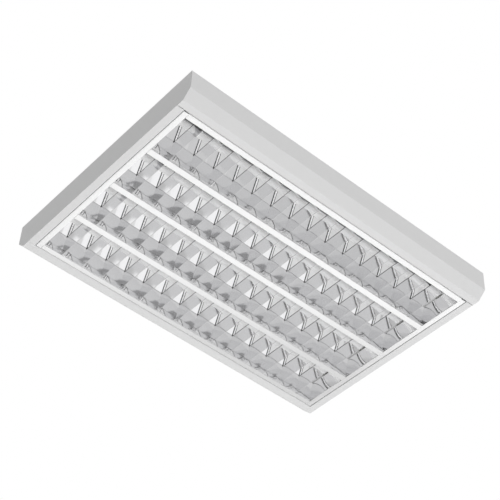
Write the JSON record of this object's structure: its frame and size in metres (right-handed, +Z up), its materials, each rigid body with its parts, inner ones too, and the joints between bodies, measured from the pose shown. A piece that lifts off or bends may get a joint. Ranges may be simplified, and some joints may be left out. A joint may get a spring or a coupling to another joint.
{
  "type": "surface-mounted louvre ceiling light",
  "caption": "Surface-mounted white steel ceiling light with tubular lamps behind a hinged mirror louvre of curved reflectors and cross blades.",
  "frame": {"origin": "centre of the ceiling face, in the middle of the four mounting slots", "axes": "+Z up into the ceiling, +X along the lamps and the long sides, +Y across the rows towards the hinged side; the light shines towards -Z"},
  "size_m": [0.942, 0.66, 0.082],
  "materials": {
    "white_enamel": "satin powder coat",
    "bright_aluminium": "bright anodised, mirror finish",
    "zinc_steel": "zinc plated",
    "spring_steel": "bright spring strip",
    "cap_aluminium": "satin",
    "pin_brass": "plain",
    "holder_plastic": "semi gloss",
    "rotor_plastic": "semi gloss",
    "block_plastic": "matt",
    "bush_rubber": "matt",
    "wire_sheath": "matt",
    "earth_brass": "plain",
    "frosted_glass": "frosted",
    "circuit_board": "matt white"
  },
  "bodies": {
    "housing": {"housing_body": "white_enamel", "end_plate_left": "white_enamel", "end_plate_right": "white_enamel", "hinge_bracket_left": "zinc_steel", "hinge_bracket_right": "zinc_steel", "lampholder_1_left": "holder_plastic", "lampholder_1_right": "holder_plastic", "lampholder_2_left": "holder_plastic", "lampholder_2_right": "holder_plastic", "lampholder_3_left": "holder_plastic", "lampholder_3_right": "holder_plastic", "lampholder_4_left": "holder_plastic", "lampholder_4_right": "holder_plastic", "lamp_reflector": "bright_aluminium", "reflector_screws": "zinc_steel", "wiring_cover": "white_enamel", "cover_screws": "zinc_steel", "terminal_block": "block_plastic", "cable_bush": "bush_rubber", "earth_terminal": "earth_brass", "wiring_left": "wire_sheath", "wiring_right": "wire_sheath"},
    "louvre": {"side_reflector_front": "bright_aluminium", "side_reflector_back": "bright_aluminium", "end_reflector_left": "bright_aluminium", "end_reflector_right": "bright_aluminium", "divider_front": "bright_aluminium", "divider_middle": "bright_aluminium", "divider_back": "bright_aluminium", "cross_blades_row_1": "bright_aluminium", "cross_blades_row_2": "bright_aluminium", "cross_blades_row_3": "bright_aluminium", "cross_blades_row_4": "bright_aluminium", "hinge_pins": "zinc_steel", "catch_springs": "spring_steel", "catch_rivets": "cap_aluminium"},
    "lamp_1": {"tube_1": "frosted_glass", "led_board_1": "circuit_board", "end_caps_1": "cap_aluminium", "contact_pins_1": "pin_brass", "rotor_1_left": "rotor_plastic", "rotor_1_right": "rotor_plastic"},
    "lamp_2": {"tube_2": "frosted_glass", "led_board_2": "circuit_board", "end_caps_2": "cap_aluminium", "contact_pins_2": "pin_brass", "rotor_2_left": "rotor_plastic", "rotor_2_right": "rotor_plastic"},
    "lamp_3": {"tube_3": "frosted_glass", "led_board_3": "circuit_board", "end_caps_3": "cap_aluminium", "contact_pins_3": "pin_brass", "rotor_3_left": "rotor_plastic", "rotor_3_right": "rotor_plastic"},
    "lamp_4": {"tube_4": "frosted_glass", "led_board_4": "circuit_board", "end_caps_4": "cap_aluminium", "contact_pins_4": "pin_brass", "rotor_4_left": "rotor_plastic", "rotor_4_right": "rotor_plastic"}
  },
  "joints": [
    {"name": "louvre_hinge", "type": "hinge", "parent": "housing", "child": "louvre", "pos_m": [0, 0.2745, -0.077], "axis": [1, 0, 0], "range_deg": [0, 90]},
    {"name": "lamp_1_turn", "type": "hinge", "parent": "housing", "child": "lamp_1", "pos_m": [0, -0.20775, -0.017], "axis": [1, 0, 0], "range_deg": [0, 90]},
    {"name": "lamp_2_turn", "type": "hinge", "parent": "housing", "child": "lamp_2", "pos_m": [0, -0.06925, -0.017], "axis": [1, 0, 0], "range_deg": [0, 90]},
    {"name": "lamp_3_turn", "type": "hinge", "parent": "housing", "child": "lamp_3", "pos_m": [0, 0.06925, -0.017], "axis": [1, 0, 0], "range_deg": [0, 90]},
    {"name": "lamp_4_turn", "type": "hinge", "parent": "housing", "child": "lamp_4", "pos_m": [0, 0.20775, -0.017], "axis": [1, 0, 0], "range_deg": [0, 90]}
  ]
}
